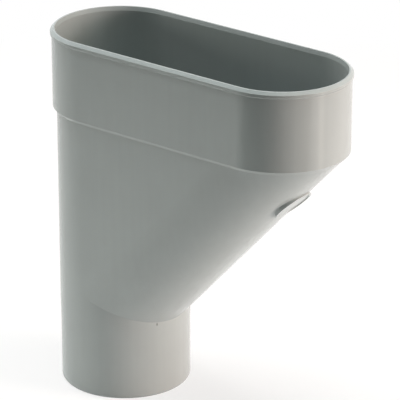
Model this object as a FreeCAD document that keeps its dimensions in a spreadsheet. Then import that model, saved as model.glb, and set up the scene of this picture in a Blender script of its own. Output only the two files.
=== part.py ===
import FreeCAD, Part
import Sketcher
import math
import os

# Offset oblong downpipe shoe, moulded in one piece of PVC. Sizes in millimetres.
# The spigot stands on the Z axis with its open end at z = 0. X runs along the oblong mouth,
# and the part is symmetric about the plane y = 0.

NODE = "downpipe_shoe"
TOLERANCE = 1e-3

# Driving dimensions: alias, value, what it measures.
SIZES = [
    ("spigot_radius", 40.0, "outside radius of the spigot"),
    ("spigot_wall", 2.6, "wall of the spigot, between its outside and the waterway"),
    ("spigot_insert", 38.0, "height of the straight part of the spigot, which enters the pipe below"),
    ("spigot_length", 47.8, "height of the knee, where the slope leaves the spigot"),
    ("spigot_taper_depth", 0.8, "how far the end of the spigot narrows, on the radius"),
    ("spigot_taper_length", 1.4, "length of the narrowed end of the spigot"),
    ("flare_land", 0.8, "height left between the flare of the spigot and the knee"),
    ("body_step", 0.2, "how far the body stands out from the spigot, on the radius"),
    ("slope_fullness", 1.1, "how much deeper the half-oval underside of the slope is than half its width"),
    ("shoulder_height", 176.2, "height of the underside of the socket"),
    ("socket_depth", 50.1, "height of the socket from its underside to the rim"),
    ("socket_length", 204.0, "outside length of the socket, tip to tip"),
    ("side_step", 0.8, "step from the body out to the socket at the flat sides"),
    ("left_step", 3.0, "step from the barrel out to the tip of the socket"),
    ("right_step", 1.8, "step from the slope out to the tip of the socket"),
    ("socket_wall", 2.5, "wall of the socket"),
    ("ledge_thickness", 1.0, "ledge inside the socket, above the bevel, that the inserted outlet stops on"),
    ("shoulder_land", 0.1, "level part of the underside of the socket around the body"),
    ("shoulder_bevel_height", 1.8, "height of the bevel under the socket"),
    ("lip_proud", 0.8, "how far the lip stands out from the socket"),
    ("lip_height", 3.9, "height of the lip below the rim"),
    ("lip_foot_bevel", 0.6, "chamfer of the lower edge of the lip"),
    ("crest_height", 1.6, "height of the crest, where the lip is bevelled up to the rim"),
    ("crest_inset", 1.8, "width of that bevel"),
    ("mouth_lead", 2.6, "height of the slight taper that opens the mouth"),
    ("mouth_flare", 0.6, "how far that taper opens the mouth on each side"),
    ("mark_radius", 12.2, "radius of the round moulding pad on the slope"),
    ("mark_height", 0.3, "height of the middle of the pad above the lowest line of the slope"),
    ("mark_lean", 2.0, "degrees by which the upper end of the pad stands out from the slope"),
    ("mark_distance", 132.0, "distance from the knee up the slope to the middle of the pad"),
    ("mark_rim_width", 1.3, "width of the raised rim around the pad"),
    ("mark_dish_depth", 0.4, "depth of the dished face inside the pad's rim"),
    ("overrun", 4.0, "how far shapes are drawn past the faces that they are trimmed at"),
]

# Widths and heights that follow from the driving dimensions.
BODY_RADIUS = "(Sizes.spigot_radius + Sizes.body_step)"
BORE_RADIUS = "(Sizes.spigot_radius - Sizes.spigot_wall)"
SPIGOT_END_RADIUS = "(Sizes.spigot_radius - Sizes.spigot_taper_depth)"
FLARE_TOP = "(Sizes.spigot_length - Sizes.flare_land)"
HALF_WIDTH = f"({BODY_RADIUS} + Sizes.side_step)"
INNER_HALF_WIDTH = f"({HALF_WIDTH} - Sizes.socket_wall)"
LIP_HALF_WIDTH = f"({HALF_WIDTH} + Sizes.lip_proud)"
BEVEL_FOOT_HALF_WIDTH = f"({BODY_RADIUS} + Sizes.shoulder_land)"
LEFT_REACH = f"({BODY_RADIUS} + Sizes.left_step)"
LEFT_CENTRE = "(Sizes.side_step - Sizes.left_step)"
RIGHT_CENTRE = f"(Sizes.socket_length - {LEFT_REACH} - {HALF_WIDTH})"
BEVEL_TOP = "(Sizes.shoulder_height + Sizes.shoulder_bevel_height)"
FLOOR_HEIGHT = f"({BEVEL_TOP} + Sizes.ledge_thickness)"
RIM_HEIGHT = "(Sizes.shoulder_height + Sizes.socket_depth)"
LIP_FOOT_HEIGHT = f"({RIM_HEIGHT} - Sizes.lip_height)"
CREST_FOOT = f"({RIM_HEIGHT} - Sizes.crest_height)"
CREST_HALF_WIDTH = f"({LIP_HALF_WIDTH} - Sizes.crest_inset)"
MOUTH_FOOT = f"({RIM_HEIGHT} - Sizes.mouth_lead)"
MOUTH_HALF_WIDTH = f"({INNER_HALF_WIDTH} + Sizes.mouth_flare)"

# The slope: its lowest line runs from the knee to the right end of the underside of the socket.
SLOPE_RISE = "(Sizes.shoulder_height - Sizes.spigot_length)"
SLOPE_RUN = f"(Sizes.socket_length - {LEFT_REACH} - Sizes.right_step - {BODY_RADIUS})"
SLOPE_ANGLE = f"atan({SLOPE_RISE} / {SLOPE_RUN})"
SLOPE_DEPTH = f"({BODY_RADIUS} + Sizes.slope_fullness)"
SLOPE_DROP = f"({BODY_RADIUS} * tan({SLOPE_ANGLE}))"
SLOPE_FOOT = f"(Sizes.spigot_length - {SLOPE_DROP} + {SLOPE_DEPTH} / cos({SLOPE_ANGLE}))"
BORE_FOOT = f"(Sizes.spigot_length + {BODY_RADIUS} * tan((90 deg - {SLOPE_ANGLE}) / 2))"
SLOPE_END = f"({FLOOR_HEIGHT} + Sizes.overrun + {SLOPE_DEPTH} * cos({SLOPE_ANGLE}))"
SLOPE_LENGTH = f"(({SLOPE_END} - {SLOPE_FOOT}) / sin({SLOPE_ANGLE}))"
BORE_LENGTH = f"(({SLOPE_END} - {BORE_FOOT}) / sin({SLOPE_ANGLE}))"
TRIM_TOP = f"({SLOPE_END} + {SLOPE_DEPTH})"
TRIM_RIGHT = f"({SLOPE_LENGTH} * cos({SLOPE_ANGLE}) + 2 * {SLOPE_DEPTH})"

# The moulding pad, seen in its own sketch with the slope level.
MARK_X = f"({BODY_RADIUS} + Sizes.mark_distance * cos({SLOPE_ANGLE}))"
MARK_Z = f"(Sizes.spigot_length + Sizes.mark_distance * sin({SLOPE_ANGLE}))"
MARK_SAG = f"({SLOPE_DEPTH} * (1 - sqrt(1 - (Sizes.mark_radius / {BODY_RADIUS})^2)))"
MARK_ROOT = f"-({MARK_SAG} + Sizes.overrun / 2)"
MARK_FACE = "(Sizes.mark_height - Sizes.mark_dish_depth)"
MARK_FACE_RADIUS = "(Sizes.mark_radius - Sizes.mark_rim_width)"

# Fixed parts of a sketch, and the points of a line or an arc.
START, END, CENTRE = range(1, 4)
X_AXIS, Y_AXIS = range(-1, -3, -1)
ORIGIN = (X_AXIS, START)
ZERO = "0"


def point(x, y):
    """A point of a sketch."""
    return FreeCAD.Vector(x, y, 0)


def make_sheet(doc):
    """The spreadsheet that holds the driving dimensions."""
    sheet = doc.addObject("Spreadsheet::Sheet", "Sizes")
    for row, (alias, value, meaning) in enumerate(SIZES, start=1):
        sheet.set(f"A{row}", str(value))
        sheet.setAlias(f"A{row}", alias)
        sheet.set(f"B{row}", f"{alias}: {meaning}")
    doc.recompute()
    return sheet


def new_sketch(body, name, role, height=None):
    """A sketch on one of the body's origin planes, raised to a height where one is given."""
    sketch = body.newObject("Sketcher::SketchObject", name)
    plane = next(item for item in body.Origin.OriginFeatures if item.Role == role)
    sketch.AttachmentSupport = [(plane, "")]
    sketch.MapMode = "FlatFace"
    if height:
        sketch.setExpression("AttachmentOffset.Base.z", height)
    return sketch


def relate(sketch, kind, *where):
    """A geometric relation between parts of the sketch."""
    return sketch.addConstraint(Sketcher.Constraint(kind, *where))


def value_of(holder, formula):
    """What a formula comes to, in millimetres or degrees."""
    return float(getattr(holder.evalExpression(formula), "Value", holder.evalExpression(formula)))


def measure(sketch, formula, kind, *where):
    """A dimension of the sketch that follows a formula."""
    size = value_of(sketch, formula)
    if kind == "Angle":
        size = math.radians(size)
    index = sketch.addConstraint(Sketcher.Constraint(kind, *where, size))
    sketch.setExpression(f"Constraints[{index}]", formula)


def place(sketch, item, which, across, upward):
    """Holds a point of the sketch at distances across and upward from the sketch's origin."""
    for kind, axis, formula in (("DistanceX", Y_AXIS, across), ("DistanceY", X_AXIS, upward)):
        if formula == ZERO:
            relate(sketch, "PointOnObject", item, which, axis)
        else:
            measure(sketch, formula, kind, *ORIGIN, item, which)


def add_circle(sketch, radius):
    """A circle about the sketch's origin."""
    circle = sketch.addGeometry(Part.Circle(point(0, 0), FreeCAD.Vector(0, 0, 1), value_of(sketch, radius)))
    relate(sketch, "Coincident", circle, CENTRE, *ORIGIN)
    measure(sketch, radius, "Radius", circle)


def add_oval(sketch, half_length, half_width):
    """An oval about the sketch's origin, longest along the sketch's X axis."""
    shape = Part.Ellipse(point(0, 0), value_of(sketch, half_length), value_of(sketch, half_width))
    oval = sketch.addGeometry(shape)
    sketch.exposeInternalGeometry(oval)
    _, length, width, *_ = range(oval, sketch.GeometryCount)
    relate(sketch, "Coincident", oval, CENTRE, *ORIGIN)
    relate(sketch, "Horizontal", length)
    measure(sketch, f"2 * {half_length}", "Distance", length)
    measure(sketch, f"2 * {half_width}", "Distance", width)


def add_polygon(sketch, corners):
    """A closed outline of straight lines through corners whose places are formulas."""
    spots = [point(value_of(sketch, across), value_of(sketch, upward)) for across, upward in corners]
    lines = []
    for here, there in zip(spots, spots[1:] + spots[:1]):
        lines.append(sketch.addGeometry(Part.LineSegment(here, there)))
    for line, following in zip(lines, lines[1:] + lines[:1]):
        relate(sketch, "Coincident", line, END, following, START)
    for line, (across, upward) in zip(lines, corners):
        place(sketch, line, START, across, upward)


def add_oblong(sketch, half_width, left_centre=LEFT_CENTRE, right_centre=RIGHT_CENTRE):
    """An oblong outline of one half width: two straight sides and two round ends."""
    up = FreeCAD.Vector(0, 0, 1)
    quarter = math.pi / 2
    reach = value_of(sketch, half_width)
    left_x = value_of(sketch, left_centre)
    right_x = value_of(sketch, right_centre)
    left_circle = Part.Circle(point(left_x, 0), up, reach)
    right_circle = Part.Circle(point(right_x, 0), up, reach)
    left = sketch.addGeometry(Part.ArcOfCircle(left_circle, quarter, 3 * quarter))
    right = sketch.addGeometry(Part.ArcOfCircle(right_circle, -quarter, quarter))
    back = sketch.addGeometry(Part.LineSegment(point(left_x, reach), point(right_x, reach)))
    front = sketch.addGeometry(Part.LineSegment(point(left_x, -reach), point(right_x, -reach)))
    relate(sketch, "Tangent", left, START, back, START)
    relate(sketch, "Tangent", left, END, front, START)
    relate(sketch, "Tangent", right, END, back, END)
    relate(sketch, "Tangent", right, START, front, END)
    relate(sketch, "Equal", left, right)
    place(sketch, left, CENTRE, left_centre, ZERO)
    place(sketch, right, CENTRE, right_centre, ZERO)
    measure(sketch, half_width, "Radius", left)


def add_web_outline(sketch, foot, top):
    """The triangle between the upright axis and an axis along the slope, from a foot up to a height."""
    tip = f"(({top} - {foot}) / tan({SLOPE_ANGLE}))"
    add_polygon(sketch, [(ZERO, foot), (ZERO, top), (tip, top)])


def extrude(body, kind, name, sketch, length=None, both_sides=False):
    """A pad, or a pocket that goes right through where no length is given."""
    feature = body.newObject(f"PartDesign::{kind}", name)
    feature.Profile = sketch
    if both_sides:
        feature.SideType = "Symmetric"
    if length:
        feature.setExpression("Length", length)
    else:
        feature.Type = "ThroughAll"


def loft(body, kind, name, foot, top):
    """A bevel, added or cut away, with straight sides from one outline up to another."""
    bevel = body.newObject(f"PartDesign::{kind}Loft", name)
    bevel.Profile = foot
    bevel.Sections = [top]
    bevel.Ruled = True


def revolve(body, name, sketch):
    """A solid turned about the upright axis of its sketch."""
    turned = body.newObject("PartDesign::Revolution", name)
    turned.Profile = sketch
    turned.ReferenceAxis = (sketch, ["V_Axis"])


def add_spigot(body):
    """The spigot: a narrowed end, a straight part and a slight flare up to the body."""
    sketch = new_sketch(body, "SpigotProfile", "XZ_Plane")
    add_polygon(sketch, [
        (ZERO, ZERO),
        (SPIGOT_END_RADIUS, ZERO),
        ("Sizes.spigot_radius", "Sizes.spigot_taper_length"),
        ("Sizes.spigot_radius", "Sizes.spigot_insert"),
        (BODY_RADIUS, FLARE_TOP),
        (ZERO, FLARE_TOP),
    ])
    revolve(body, "Spigot", sketch)


def add_slope(body):
    """The slope: an oval bar that leans out of the barrel, cut level at the underside of the socket."""
    section = new_sketch(body, "SlopeSection", "XY_Plane", SLOPE_FOOT)
    lean = FreeCAD.Rotation(FreeCAD.Vector(0, 1, 0), value_of(section, f"90 deg - {SLOPE_ANGLE}"))
    section.AttachmentOffset = FreeCAD.Placement(FreeCAD.Vector(), lean)
    section.setExpression("AttachmentOffset.Rotation.Angle", f"90 deg - {SLOPE_ANGLE}")
    add_oval(section, SLOPE_DEPTH, BODY_RADIUS)
    extrude(body, "Pad", "Slope", section, SLOPE_LENGTH)
    sides = new_sketch(body, "FlatSidesOutline", "XZ_Plane")
    add_web_outline(sides, SLOPE_FOOT, "Sizes.shoulder_height")
    extrude(body, "Pad", "FlatSides", sides, f"2 * {BODY_RADIUS}", both_sides=True)
    trim = new_sketch(body, "SlopeTrimOutline", "XZ_Plane")
    left = f"-{LEFT_REACH}"
    add_polygon(trim, [
        (left, "Sizes.shoulder_height"),
        (TRIM_RIGHT, "Sizes.shoulder_height"),
        (TRIM_RIGHT, TRIM_TOP),
        (left, TRIM_TOP),
    ])
    extrude(body, "Pocket", "SlopeTrim", trim, both_sides=True)


def build_outside(body):
    """The solid outside of the shoe up to the socket floor."""
    add_spigot(body)
    barrel = new_sketch(body, "BarrelSection", "XY_Plane", FLARE_TOP)
    add_circle(barrel, BODY_RADIUS)
    extrude(body, "Pad", "Barrel", barrel, f"Sizes.shoulder_height - {FLARE_TOP}")
    add_slope(body)
    bevel_foot = new_sketch(body, "BevelFootOutline", "XY_Plane", "Sizes.shoulder_height")
    add_oblong(bevel_foot, BEVEL_FOOT_HALF_WIDTH, ZERO, SLOPE_RUN)
    bevel_top = new_sketch(body, "BevelTopOutline", "XY_Plane", BEVEL_TOP)
    add_oblong(bevel_top, HALF_WIDTH)
    loft(body, "Additive", "ShoulderBevel", bevel_foot, bevel_top)
    floor = new_sketch(body, "SocketFloorOutline", "XY_Plane", BEVEL_TOP)
    add_oblong(floor, HALF_WIDTH)
    extrude(body, "Pad", "SocketFloor", floor, "Sizes.ledge_thickness")


def add_moulding_pad(body):
    """The round pad on the slope, with a raised rim around a plain dished face.

    Its sketch lies in the plane of symmetry, with its Y axis square to the slope and outwards.
    """
    sketch = new_sketch(body, "MouldingPadProfile", "XZ_Plane")
    sketch.setExpression("AttachmentOffset.Base.x", MARK_X)
    sketch.setExpression("AttachmentOffset.Base.y", MARK_Z)
    turn = f"180 deg + {SLOPE_ANGLE} - Sizes.mark_lean * 1 deg"
    sketch.setExpression("AttachmentOffset.Rotation.Angle", turn)
    add_polygon(sketch, [
        (ZERO, MARK_ROOT),
        ("Sizes.mark_radius", MARK_ROOT),
        ("Sizes.mark_radius", "Sizes.mark_height"),
        (MARK_FACE_RADIUS, "Sizes.mark_height"),
        (MARK_FACE_RADIUS, MARK_FACE),
        (ZERO, MARK_FACE),
    ])
    revolve(body, "MouldingPad", sketch)


def cut_waterway(body):
    """Hollows the shoe: up the spigot and the barrel, round a mitred knee and along the slope."""
    foot = "-Sizes.overrun"
    path = new_sketch(body, "WaterwayPath", "XZ_Plane")
    knee = point(0, value_of(path, BORE_FOOT))
    end = knee + FreeCAD.Vector(value_of(path, BORE_LENGTH), 0, 0)
    upright = path.addGeometry(Part.LineSegment(point(0, value_of(path, foot)), knee))
    slanted = path.addGeometry(Part.LineSegment(knee, end))
    relate(path, "Coincident", upright, END, slanted, START)
    place(path, upright, START, ZERO, foot)
    place(path, upright, END, ZERO, BORE_FOOT)
    measure(path, SLOPE_ANGLE, "Angle", slanted)
    measure(path, BORE_LENGTH, "Distance", slanted)
    section = new_sketch(body, "WaterwaySection", "XY_Plane", foot)
    add_circle(section, BORE_RADIUS)
    waterway = body.newObject("PartDesign::SubtractivePipe", "Waterway")
    waterway.Profile = section
    waterway.Spine = (path, [])
    waterway.Transition = "Right corner"
    barrel = new_sketch(body, "BarrelBoreSection", "XY_Plane")
    add_circle(barrel, BORE_RADIUS)
    extrude(body, "Pocket", "BarrelBore", barrel, both_sides=True)
    sides = new_sketch(body, "FlatSidesBoreOutline", "XZ_Plane")
    add_web_outline(sides, BORE_FOOT, f"({FLOOR_HEIGHT} + Sizes.overrun)")
    extrude(body, "Pocket", "FlatSidesBore", sides, f"2 * {BORE_RADIUS}", both_sides=True)


def new_ring(body, name, height, half_width, inner_half_width):
    """A sketch of two oblong outlines, one inside the other."""
    ring = new_sketch(body, name, "XY_Plane", height)
    add_oblong(ring, half_width)
    add_oblong(ring, inner_half_width)
    return ring


def add_socket(body):
    """The oblong wall of the socket, the lip around it, the bevelled crest and the tapered mouth."""
    wall = new_ring(body, "SocketWallOutline", BEVEL_TOP, HALF_WIDTH, INNER_HALF_WIDTH)
    extrude(body, "Pad", "SocketWall", wall, f"{CREST_FOOT} - {BEVEL_TOP}")
    lip = new_ring(body, "LipOutline", LIP_FOOT_HEIGHT, LIP_HALF_WIDTH, INNER_HALF_WIDTH)
    extrude(body, "Pad", "Lip", lip, f"{CREST_FOOT} - {LIP_FOOT_HEIGHT}")
    foot = new_ring(body, "CrestFootOutline", CREST_FOOT, LIP_HALF_WIDTH, INNER_HALF_WIDTH)
    top = new_ring(body, "CrestOutline", RIM_HEIGHT, CREST_HALF_WIDTH, INNER_HALF_WIDTH)
    loft(body, "Additive", "Crest", foot, top)
    mouth_foot = new_sketch(body, "MouthFootOutline", "XY_Plane", MOUTH_FOOT)
    add_oblong(mouth_foot, INNER_HALF_WIDTH)
    mouth = new_sketch(body, "MouthOutline", "XY_Plane", RIM_HEIGHT)
    add_oblong(mouth, MOUTH_HALF_WIDTH)
    loft(body, "Subtractive", "MouthTaper", mouth_foot, mouth)


def oblong_edges(sheet, shape, height, half_width):
    """Names of the edges that make up one level oblong outline of the shape."""
    level = value_of(sheet, height)
    reach = value_of(sheet, half_width)
    left = value_of(sheet, LEFT_CENTRE)
    right = value_of(sheet, RIGHT_CENTRE)
    names = []
    for number, edge in enumerate(shape.Edges, start=1):
        middle = edge.valueAt((edge.FirstParameter + edge.LastParameter) / 2)
        nearest = min(max(middle.x, left), right)
        distance = math.hypot(middle.x - nearest, middle.y)
        flat = max(abs(edge.BoundBox.ZMin - level), abs(edge.BoundBox.ZMax - level)) < TOLERANCE
        if flat and abs(distance - reach) < TOLERANCE:
            names.append(f"Edge{number}")
    return names


def bevel_lip_foot(doc, sheet, body):
    """Chamfers the lower edge of the lip."""
    doc.recompute()
    base = body.Tip
    names = oblong_edges(sheet, base.Shape, LIP_FOOT_HEIGHT, LIP_HALF_WIDTH)
    bevel = body.newObject("PartDesign::Chamfer", "LipFootBevel")
    bevel.Base = (base, names)
    bevel.setExpression("Size", "Sizes.lip_foot_bevel")
    doc.recompute()


def check_document(doc, body):
    """Stops where a feature failed or the part isn't one sound solid."""
    for item in doc.Objects:
        if "Invalid" in item.State or "Error" in item.State:
            raise RuntimeError(f"{item.Name} failed: {item.State}")
    shape = body.Shape
    if shape.isNull() or not shape.isValid() or len(shape.Solids) != 1:
        raise RuntimeError("the part is not one valid solid")


def main():
    """Builds the shoe and writes it."""
    doc = FreeCAD.newDocument("DownpipeShoe")
    sheet = make_sheet(doc)
    body = doc.addObject("PartDesign::Body", "Shoe")
    body.Label = NODE
    build_outside(body)
    add_moulding_pad(body)
    cut_waterway(body)
    add_socket(body)
    bevel_lip_foot(doc, sheet, body)
    check_document(doc, body)
    os.makedirs("parts", exist_ok=True)
    body.Shape.exportStep(f"parts/{NODE}.step")


main()
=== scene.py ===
"""Looks of an offset oblong downpipe shoe, moulded in one piece of grey PVC."""

import math

import bpy
from mathutils import Matrix, Vector

bl_info = {
    "name": "Oblong downpipe shoe",
    "version": (1, 0, 0),
    "blender": (4, 5, 0),
    "location": "View3D > Sidebar > Shoe",
    "description": "Gives a moulded rainwater shoe its PVC finish and a plain studio",
    "category": "Object",
}

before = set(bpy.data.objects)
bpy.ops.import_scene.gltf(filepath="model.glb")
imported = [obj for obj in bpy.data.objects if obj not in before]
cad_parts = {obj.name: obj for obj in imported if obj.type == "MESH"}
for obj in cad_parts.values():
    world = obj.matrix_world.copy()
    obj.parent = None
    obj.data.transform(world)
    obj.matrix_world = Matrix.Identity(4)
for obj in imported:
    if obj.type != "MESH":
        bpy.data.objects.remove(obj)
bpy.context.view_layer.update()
NODE = "downpipe_shoe"
MM = 0.001
WHITE = (1, 1, 1, 1)


def linear(hex_colour):
    """A hex sRGB colour as linear red, green and blue."""
    channels = [int(hex_colour[i : i + 2], 16) / 255 for i in (1, 3, 5)]
    return tuple(c / 12.92 if c <= 0.04045 else ((c + 0.055) / 1.055) ** 2.4 for c in channels)


def add(tree, kind, settings=None, inputs=None):
    """Adds a node with its settings. An input is a value, or the socket that feeds it."""
    node = tree.nodes.new(kind)
    for name, value in (settings or {}).items():
        setattr(node, name, value)
    for name, value in (inputs or {}).items():
        if isinstance(value, bpy.types.NodeSocket):
            tree.links.new(value, node.inputs[name])
        else:
            node.inputs[name].default_value = value
    return node


def empty_material(name):
    """A new material with an empty node tree."""
    material = bpy.data.materials.new(name)
    material.use_nodes = True
    material.node_tree.nodes.clear()
    return material


class ShoeFinish(bpy.types.PropertyGroup):
    """Colours and surface of the PVC."""

    colour: bpy.props.FloatVectorProperty(
        name="Colour",
        description="Main colour of the moulding",
        subtype="COLOR",
        default=linear("#9CA4A4"),
        min=0,
        max=1,
    )
    # Paler colour of sharp edges and creases: rubbing, and a painted highlight where light catches them.
    edge_colour: bpy.props.FloatVectorProperty(
        name="Rubbed and highlit edges",
        description="Paler colour of sharp edges",
        subtype="COLOR",
        default=linear("#B3B8B6"),
        min=0,
        max=1,
    )
    dark_dot_colour: bpy.props.FloatVectorProperty(
        name="Dark dot",
        description="Colour of the dark dot at the knee",
        subtype="COLOR",
        default=linear("#4A4C4A"),
        min=0,
        max=1,
    )
    roughness: bpy.props.FloatProperty(
        name="Roughness",
        description="Satin sheen as it leaves the mould",
        subtype="FACTOR",
        default=0.2,
        min=0,
        max=1,
    )
    patch_size: bpy.props.FloatProperty(
        name="Patches",
        description="Size of the faint patches of pigment",
        unit="LENGTH",
        default=35 * MM,
        min=MM,
    )
    streak_width: bpy.props.FloatProperty(
        name="Streaks",
        description="Width of the flow streaks in the walls",
        unit="LENGTH",
        default=4 * MM,
        min=MM,
    )
    grain_size: bpy.props.FloatProperty(
        name="Grain",
        description="Size of the grain taken from the mould",
        unit="LENGTH",
        default=1.2 * MM,
        min=0.1 * MM,
    )
    wave_size: bpy.props.FloatProperty(
        name="Waves",
        description="Length of the shallow waves of shrinkage",
        unit="LENGTH",
        default=14 * MM,
        min=MM,
    )


class ShoeStage(bpy.types.PropertyGroup):
    """Floor, lamps and camera."""

    floor_colour: bpy.props.FloatVectorProperty(
        name="Floor",
        description="Colour of the plain floor",
        subtype="COLOR",
        default=linear("#F4F4F4"),
        min=0,
        max=1,
    )
    azimuth: bpy.props.FloatProperty(
        name="Azimuth",
        description="Camera's angle round the shoe from the front",
        subtype="ANGLE",
        default=math.radians(39.296),
    )
    elevation: bpy.props.FloatProperty(
        name="Elevation",
        description="Camera's angle above the floor",
        subtype="ANGLE",
        default=math.radians(21.771),
    )
    roll: bpy.props.FloatProperty(
        name="Roll",
        description="Camera's turn about its own axis",
        subtype="ANGLE",
        default=math.radians(-0.06),
    )
    distance: bpy.props.FloatProperty(
        name="Distance",
        description="From the camera to the point that it looks at",
        unit="LENGTH",
        default=1.7578,
    )
    target: bpy.props.FloatVectorProperty(
        name="Target",
        description="The point that the camera looks at",
        subtype="XYZ",
        unit="LENGTH",
        default=(0.05957, 0, 0.1302),
    )
    lens: bpy.props.FloatProperty(
        name="Lens",
        description="Focal length in millimetres on a 36 mm sensor",
        unit="CAMERA",
        default=264.94,
        min=1,
    )


# Nearly all of a noise lies between these two values.
NOISE_LOW = 0.3
NOISE_HIGH = 0.7
# How many finer layers each noise has.
PATCH_DETAIL = 3
STREAK_DETAIL = 2
WAVE_DETAIL = 1
GRAIN_DETAIL = 3
# Streaks are this many times longer than wide, and make up this share of the change in tone.
STREAK_STRETCH = 25
STREAK_SHARE = 0.35
# Tone changes by this share of itself, and roughness by this much, to either side.
TONE_SPREAD = 0.03
SHEEN_SPREAD = 0.02
# Edges and creases are paled over this width, partly as rubbing and partly as a painted highlight.
# The paler colour reaches its full share where the dot product of the softened normal and the true
# one has fallen from one to the turn.
EDGE_WIDTH = 0.35 * MM
EDGE_SAMPLES = 8
EDGE_TURN = 0.93
EDGE_SHARE = 0.4
GRAIN_HEIGHT = 0.008 * MM
WAVE_HEIGHT = 0.02 * MM
# The middle of the dark dot and its reach along each axis.
DARK_DOT_PLACE = (37.5 * MM, -14.4 * MM, 47.6 * MM)
DARK_DOT_REACH = (0.7 * MM, 0.7 * MM, 1.4 * MM)
PVC_IOR = 1.53


def shade(colour, factor):
    """A colour made darker or lighter by a factor, with full opacity."""
    return (*(channel * factor for channel in colour), 1)


def rubbed_and_highlit_edges(tree):
    """Share of paler colour where the softened normal leaves the true one: rubbing plus painted
    highlight.
    """
    softened = add(tree, "ShaderNodeBevel", {"samples": EDGE_SAMPLES}, {"Radius": EDGE_WIDTH})
    true = add(tree, "ShaderNodeNewGeometry")
    agreement = add(
        tree,
        "ShaderNodeVectorMath",
        {"operation": "DOT_PRODUCT"},
        {0: softened.outputs["Normal"], 1: true.outputs["Normal"]},
    )
    pale_share = add(
        tree,
        "ShaderNodeMapRange",
        inputs={
            "Value": agreement.outputs["Value"],
            "From Min": 1,
            "From Max": EDGE_TURN,
            "To Min": 0,
            "To Max": EDGE_SHARE,
        },
    )
    return pale_share.outputs["Result"]


def dark_dot_spot(tree, place):
    """One in the middle of the dark dot, falling to zero around it."""
    dark_dot_space = add(
        tree,
        "ShaderNodeMapping",
        {"vector_type": "TEXTURE"},
        {"Vector": place, "Location": DARK_DOT_PLACE, "Scale": DARK_DOT_REACH},
    )
    spot = add(
        tree,
        "ShaderNodeTexGradient",
        {"gradient_type": "SPHERICAL"},
        {"Vector": dark_dot_space.outputs["Vector"]},
    )
    return spot.outputs["Fac"]


def moulded_pvc(finish):
    """Rigid PVC, injection moulded: to the eye an even grey, faintly blue-green, with a satin sheen."""
    material = empty_material("injection-moulded PVC")
    tree = material.node_tree
    place = add(tree, "ShaderNodeTexCoord").outputs["Object"]

    # Unevenly mixed pigment: broad patches a few per cent darker or lighter.
    patches = add(
        tree,
        "ShaderNodeTexNoise",
        inputs={"Vector": place, "Scale": 1 / finish.patch_size, "Detail": PATCH_DETAIL},
    )
    # Flow of the melt up the walls: long upright streaks in tone and sheen.
    across = 1 / finish.streak_width
    stretched = add(
        tree,
        "ShaderNodeMapping",
        inputs={"Vector": place, "Scale": (across, across, across / STREAK_STRETCH)},
    )
    streaks = add(
        tree,
        "ShaderNodeTexNoise",
        inputs={"Vector": stretched.outputs["Vector"], "Scale": 1, "Detail": STREAK_DETAIL},
    )
    both = add(
        tree,
        "ShaderNodeMix",
        inputs={0: STREAK_SHARE, 2: patches.outputs["Fac"], 3: streaks.outputs["Fac"]},
    )
    tone = add(
        tree,
        "ShaderNodeMapRange",
        inputs={"Value": both.outputs[0], "From Min": NOISE_LOW, "From Max": NOISE_HIGH},
    )
    # A colour mix has its share in socket 0, its two colours in 6 and 7, and its result in output 2.
    pigment = add(
        tree,
        "ShaderNodeMix",
        {"data_type": "RGBA"},
        {
            0: tone.outputs["Result"],
            6: shade(finish.colour, 1 - TONE_SPREAD),
            7: shade(finish.colour, 1 + TONE_SPREAD),
        },
    )
    # Sharp edges and creases are a little paler: partly rubbing, partly a painted highlight.
    edged = add(
        tree,
        "ShaderNodeMix",
        {"data_type": "RGBA"},
        {0: rubbed_and_highlit_edges(tree), 6: pigment.outputs[2], 7: shade(finish.edge_colour, 1)},
    )
    # A small dark dot just below the knee.
    dotted = add(
        tree,
        "ShaderNodeMix",
        {"data_type": "RGBA"},
        {0: dark_dot_spot(tree, place), 6: edged.outputs[2], 7: shade(finish.dark_dot_colour, 1)},
    )

    sheen = add(
        tree,
        "ShaderNodeMapRange",
        inputs={
            "Value": streaks.outputs["Fac"],
            "From Min": NOISE_LOW,
            "From Max": NOISE_HIGH,
            "To Min": finish.roughness - SHEEN_SPREAD,
            "To Max": finish.roughness + SHEEN_SPREAD,
        },
    )

    # Shrinkage leaves shallow waves, and the steel of the mould its fine grain.
    # The real grain is about 0.1 mm, too fine to show here, so it is drawn coarser.
    waves = add(
        tree,
        "ShaderNodeTexNoise",
        inputs={"Vector": place, "Scale": 1 / finish.wave_size, "Detail": WAVE_DETAIL},
    )
    grain = add(
        tree,
        "ShaderNodeTexNoise",
        inputs={"Vector": place, "Scale": 1 / finish.grain_size, "Detail": GRAIN_DETAIL},
    )
    waved = add(
        tree,
        "ShaderNodeBump",
        inputs={"Height": waves.outputs["Fac"], "Strength": 1, "Distance": WAVE_HEIGHT},
    )
    grained = add(
        tree,
        "ShaderNodeBump",
        inputs={
            "Height": grain.outputs["Fac"],
            "Strength": 1,
            "Distance": GRAIN_HEIGHT,
            "Normal": waved.outputs["Normal"],
        },
    )
    shader = add(
        tree,
        "ShaderNodeBsdfPrincipled",
        inputs={
            "Base Color": dotted.outputs[2],
            "Roughness": sheen.outputs["Result"],
            "IOR": PVC_IOR,
            "Normal": grained.outputs["Normal"],
        },
    )
    add(tree, "ShaderNodeOutputMaterial", inputs={"Surface": shader.outputs["BSDF"]})
    return material


class SHOE_OT_dress(bpy.types.Operator):
    """Gives the shoe its moulded PVC"""

    bl_idname = "shoe.dress"
    bl_label = "Dress the shoe"

    def execute(self, context):
        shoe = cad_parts[NODE]
        shoe.material_slots[0].material = moulded_pvc(context.scene.shoe_finish)
        return {"FINISHED"}


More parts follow.
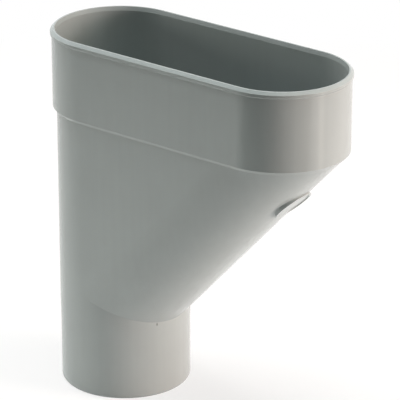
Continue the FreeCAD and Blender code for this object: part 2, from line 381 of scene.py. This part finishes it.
# Lamps: name, direction round the shoe and above the floor in degrees, width and height in metres,
# power in watts, colour.
SOFTBOXES = [
    ("low right softbox", 23, 8, 0.6, 0.42, 30.2, "#FFEAE3"),
    ("right softbox", 30, 28, 0.9, 0.7, 7.3, "#FFF2DD"),
    ("high left softbox", 180, 55, 0.9, 0.9, 14.1, "#FFFAFA"),
    ("low left softbox", -160, 8, 0.6, 0.42, 5.4, "#FFF0E6"),
    ("low front left softbox", -140, 8, 0.6, 0.42, 4.4, "#F9FFF2"),
    ("top softbox", 0, 88, 1.0, 1.0, 18.3, "#F8FFFC"),
]
STRIP = ("strip light", 10.6, -3, 0.03, 0.16, 0.042, "#FFF4E6")
# Distances of the lamps from the point that they face, in metres.
SOFTBOX_DISTANCE = 1.6
STRIP_DISTANCE = 0.4
LAMP_FOCUS = Vector((0.055, 0, 0.12))


def add_lamp(distance, name, azimuth, elevation, width, height, power, colour):
    """A lamp that faces the shoe."""
    turn = math.radians(azimuth)
    rise = math.radians(elevation)
    direction = Vector((math.cos(turn) * math.cos(rise), math.sin(turn) * math.cos(rise), math.sin(rise)))
    lamp = bpy.data.lights.new(name, "AREA")
    lamp.shape = "RECTANGLE"
    lamp.size = width
    lamp.size_y = height
    lamp.energy = power
    lamp.color = linear(colour)
    holder = bpy.data.objects.new(name, lamp)
    holder.location = LAMP_FOCUS + direction * distance
    holder.rotation_euler = direction.to_track_quat("Z", "Y").to_euler()
    bpy.context.scene.collection.objects.link(holder)
    return holder


def add_lamps():
    """Softboxes, which the sheen doesn't show, and a strip light, which only the sheen shows."""
    for lamp in SOFTBOXES:
        softbox = add_lamp(SOFTBOX_DISTANCE, *lamp)
        softbox.visible_glossy = False
    strip = add_lamp(STRIP_DISTANCE, *STRIP)
    strip.visible_camera = False
    strip.visible_diffuse = False


def seen_directly(tree):
    """One where the background itself is seen, straight, in a reflection or through a clear material."""
    path = add(tree, "ShaderNodeLightPath").outputs
    reflected = add(
        tree,
        "ShaderNodeMath",
        {"operation": "MAXIMUM"},
        {0: path["Is Camera Ray"], 1: path["Is Glossy Ray"]},
    )
    seen = add(
        tree,
        "ShaderNodeMath",
        {"operation": "MAXIMUM"},
        {0: reflected.outputs[0], 1: path["Is Transmission Ray"]},
    )
    return seen.outputs[0]


def add_world():
    """A white room that is seen, straight and in the sheen, but leaves the light to the lamps."""
    world = bpy.data.worlds.new("white room")
    world.use_nodes = True
    tree = world.node_tree
    tree.nodes.clear()
    room = add(tree, "ShaderNodeBackground", inputs={"Color": WHITE, "Strength": seen_directly(tree)})
    add(tree, "ShaderNodeOutputWorld", inputs={"Surface": room.outputs["Background"]})
    bpy.context.scene.world = world


def add_sheet(name, corners, material):
    """A flat sheet of the stage."""
    mesh = bpy.data.meshes.new(name)
    mesh.from_pydata(corners, [], [range(len(corners))])
    mesh.materials.append(material)
    sheet = bpy.data.objects.new(name, mesh)
    bpy.context.scene.collection.objects.link(sheet)
    return sheet


# The board reaches this far to each side. Between the two other distances from its middle it fades
# into the room's white. All are in metres.
FLOOR_REACH = 3.0
FLOOR_MIDDLE = (0.06, 0, 0)
FADE_START = 0.4
FADE_END = 0.7
# The share of the room's white where the board is seen, which leaves only a pale shadow.
FLOOR_WHITE = 0.7


def add_floor(colour):
    """A plain pale board that keeps the shoe's shadow and fades into the white of the room."""
    material = empty_material("matt white board")
    tree = material.node_tree
    place = add(tree, "ShaderNodeTexCoord").outputs["Object"]
    away = add(tree, "ShaderNodeVectorMath", {"operation": "LENGTH"}, {0: place})
    fade = add(
        tree,
        "ShaderNodeMapRange",
        inputs={"Value": away.outputs["Value"], "From Min": FADE_START, "From Max": FADE_END},
    )
    seen = seen_directly(tree)
    part = add(tree, "ShaderNodeMath", {"operation": "MULTIPLY"}, {0: seen, 1: FLOOR_WHITE})
    share = add(
        tree,
        "ShaderNodeMath",
        {"operation": "MAXIMUM"},
        {0: part.outputs[0], 1: fade.outputs["Result"]},
    )
    # Matt white board, unprinted: to the eye an even white without gloss.
    board = add(tree, "ShaderNodeBsdfDiffuse", inputs={"Color": (*colour, 1)})
    white = add(tree, "ShaderNodeEmission", inputs={"Color": WHITE, "Strength": seen})
    mixed = add(
        tree,
        "ShaderNodeMixShader",
        inputs={0: share.outputs[0], 1: board.outputs["BSDF"], 2: white.outputs["Emission"]},
    )
    add(tree, "ShaderNodeOutputMaterial", inputs={"Surface": mixed.outputs["Shader"]})
    signs = [(-1, -1), (1, -1), (1, 1), (-1, 1)]
    corners = [(x * FLOOR_REACH, y * FLOOR_REACH, 0) for x, y in signs]
    floor = add_sheet("floor", corners, material)
    floor.location = FLOOR_MIDDLE


# The dark card: its corners on the floor in front of the shoe, in metres.
CARD_CORNERS = [
    (-1.5, -0.6),
    (-1.5, -2.0),
    (1.8, -2.0),
    (1.8, -0.05),
    (0.42, -0.02),
    (0.25, -0.25),
    (-0.08, -0.38),
    (-0.2, -0.6),
]
CARD_HEIGHT = 0.5 * MM
CARD_COLOUR = "#3F3F3F"


def add_dark_card():
    """A dark card on the floor in front, which shows only in the sheen, as a band on the round end."""
    material = empty_material("matt black card")
    tree = material.node_tree
    # Matt black card, dyed through: in the sheen an even dark grey.
    card = add(tree, "ShaderNodeBsdfDiffuse", inputs={"Color": (*linear(CARD_COLOUR), 1)})
    add(tree, "ShaderNodeOutputMaterial", inputs={"Surface": card.outputs["BSDF"]})
    sheet = add_sheet("dark card", [(x, y, CARD_HEIGHT) for x, y in CARD_CORNERS], material)
    sheet.visible_camera = False
    sheet.visible_diffuse = False
    sheet.visible_transmission = False
    sheet.visible_shadow = False


SENSOR_WIDTH = 36


def add_camera(stage):
    """The camera of the photograph."""
    az, el, roll = stage.azimuth, stage.elevation, stage.roll
    back = Vector((math.sin(az) * math.cos(el), -math.cos(az) * math.cos(el), math.sin(el)))
    level = Vector((math.cos(az), math.sin(az), 0))
    upright = back.cross(level)
    right = math.cos(roll) * level + math.sin(roll) * upright
    up = back.cross(right)
    lens = bpy.data.cameras.new("camera")
    lens.sensor_width = SENSOR_WIDTH
    lens.lens = stage.lens
    camera = bpy.data.objects.new("camera", lens)
    place = Matrix((right, up, back)).transposed().to_4x4()
    place.translation = Vector(stage.target) + back * stage.distance
    camera.matrix_world = place
    bpy.context.scene.collection.objects.link(camera)
    bpy.context.scene.camera = camera


class SHOE_OT_stage(bpy.types.Operator):
    """Sets a plain floor, soft lamps and the camera"""

    bl_idname = "shoe.stage"
    bl_label = "Set the stage"

    def execute(self, context):
        stage = context.scene.shoe_stage
        context.scene.view_settings.view_transform = "Standard"
        add_world()
        add_floor(stage.floor_colour)
        add_dark_card()
        add_lamps()
        add_camera(stage)
        return {"FINISHED"}


class SHOE_PT_panel(bpy.types.Panel):
    """Lists the steps and their settings"""

    bl_idname = "SHOE_PT_panel"
    bl_label = "Downpipe shoe"
    bl_space_type = "VIEW_3D"
    bl_region_type = "UI"
    bl_category = "Shoe"

    def draw(self, context):
        for operator, settings in (
            (SHOE_OT_dress, context.scene.shoe_finish),
            (SHOE_OT_stage, context.scene.shoe_stage),
        ):
            self.layout.operator(operator.bl_idname)
            for name in settings.__annotations__:
                self.layout.prop(settings, name)


CLASSES = (ShoeFinish, ShoeStage, SHOE_OT_dress, SHOE_OT_stage, SHOE_PT_panel)


def register():
    for cls in CLASSES:
        bpy.utils.register_class(cls)
    bpy.types.Scene.shoe_finish = bpy.props.PointerProperty(type=ShoeFinish)
    bpy.types.Scene.shoe_stage = bpy.props.PointerProperty(type=ShoeStage)


def unregister():
    del bpy.types.Scene.shoe_stage
    del bpy.types.Scene.shoe_finish
    for cls in reversed(CLASSES):
        bpy.utils.unregister_class(cls)


def main():
    """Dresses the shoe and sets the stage."""
    register()
    bpy.ops.shoe.dress()
    bpy.ops.shoe.stage()


if __name__ == "__main__":
    main()
